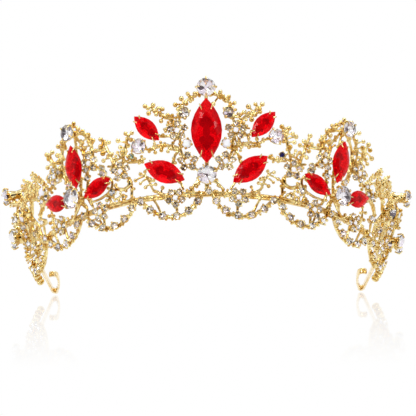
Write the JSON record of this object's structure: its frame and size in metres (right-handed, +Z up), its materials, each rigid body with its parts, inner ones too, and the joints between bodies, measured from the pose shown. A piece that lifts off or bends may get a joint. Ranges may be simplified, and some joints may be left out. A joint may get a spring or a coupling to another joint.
{
  "type": "bridal tiara",
  "caption": "Open horseshoe bridal tiara: gold-plated filigree crest and hanging scallops with claw-set red and clear stones on a strip headband with rolled eyelet ends.",
  "frame": {"origin": "middle of the head circle, in the plane of the headband strip", "axes": "+X to the image's right along the tiara's width, -Y to the front, +Z up; the band leans back 24 degrees about X, as worn"},
  "size_m": [0.1716, 0.0974, 0.0876],
  "materials": {
    "gold_plate": "polished",
    "red_glass": "polished",
    "clear_crystal": "polished"
  },
  "bodies": {
    "root": {"centre_crest_casting": "gold_plate", "centre_navette_claw_cup": "gold_plate", "centre_navette_stone": "red_glass", "crest_finial_round_stone": "clear_crystal", "crest_foot_round_stone": "clear_crystal", "end_casting_left": "gold_plate", "end_casting_right": "gold_plate", "end_finial_round_left_stone": "clear_crystal", "end_finial_round_right_stone": "clear_crystal", "end_round_left_stone": "clear_crystal", "end_round_right_stone": "clear_crystal", "headband_strip": "gold_plate", "junction_casting_left": "gold_plate", "junction_casting_right": "gold_plate", "junction_flower_left": "gold_plate", "junction_flower_right": "gold_plate", "lower_flower_left": "gold_plate", "lower_flower_right": "gold_plate", "lower_navette_left_claw_cup": "gold_plate", "lower_navette_left_stone": "red_glass", "lower_navette_right_claw_cup": "gold_plate", "lower_navette_right_stone": "red_glass", "scallop_1_left": "gold_plate", "scallop_1_right": "gold_plate", "scallop_2_left": "gold_plate", "scallop_2_right": "gold_plate", "scallop_3_left": "gold_plate", "scallop_3_right": "gold_plate", "scallop_4_left": "gold_plate", "scallop_4_right": "gold_plate", "shoulder_round_left_stone": "clear_crystal", "shoulder_round_right_stone": "clear_crystal", "side_crest_casting_left": "gold_plate", "side_crest_casting_right": "gold_plate", "side_inner_flower_left": "gold_plate", "side_inner_flower_right": "gold_plate", "side_inner_navette_left_claw_cup": "gold_plate", "side_inner_navette_left_stone": "red_glass", "side_inner_navette_right_claw_cup": "gold_plate", "side_inner_navette_right_stone": "red_glass", "side_outer_flower_left": "gold_plate", "side_outer_flower_right": "gold_plate", "side_outer_navette_left_claw_cup": "gold_plate", "side_outer_navette_left_stone": "red_glass", "side_outer_navette_right_claw_cup": "gold_plate", "side_outer_navette_right_stone": "red_glass", "side_round_left_stone": "clear_crystal", "side_round_right_stone": "clear_crystal", "side_spire_round_left_stone": "clear_crystal", "side_spire_round_right_stone": "clear_crystal", "side_upright_navette_left_claw_cup": "gold_plate", "side_upright_navette_left_stone": "red_glass", "side_upright_navette_right_claw_cup": "gold_plate", "side_upright_navette_right_stone": "red_glass", "upper_flower_left": "gold_plate", "upper_flower_right": "gold_plate", "upper_navette_left_claw_cup": "gold_plate", "upper_navette_left_stone": "red_glass", "upper_navette_right_claw_cup": "gold_plate", "upper_navette_right_stone": "red_glass"}
  },
  "joints": []
}
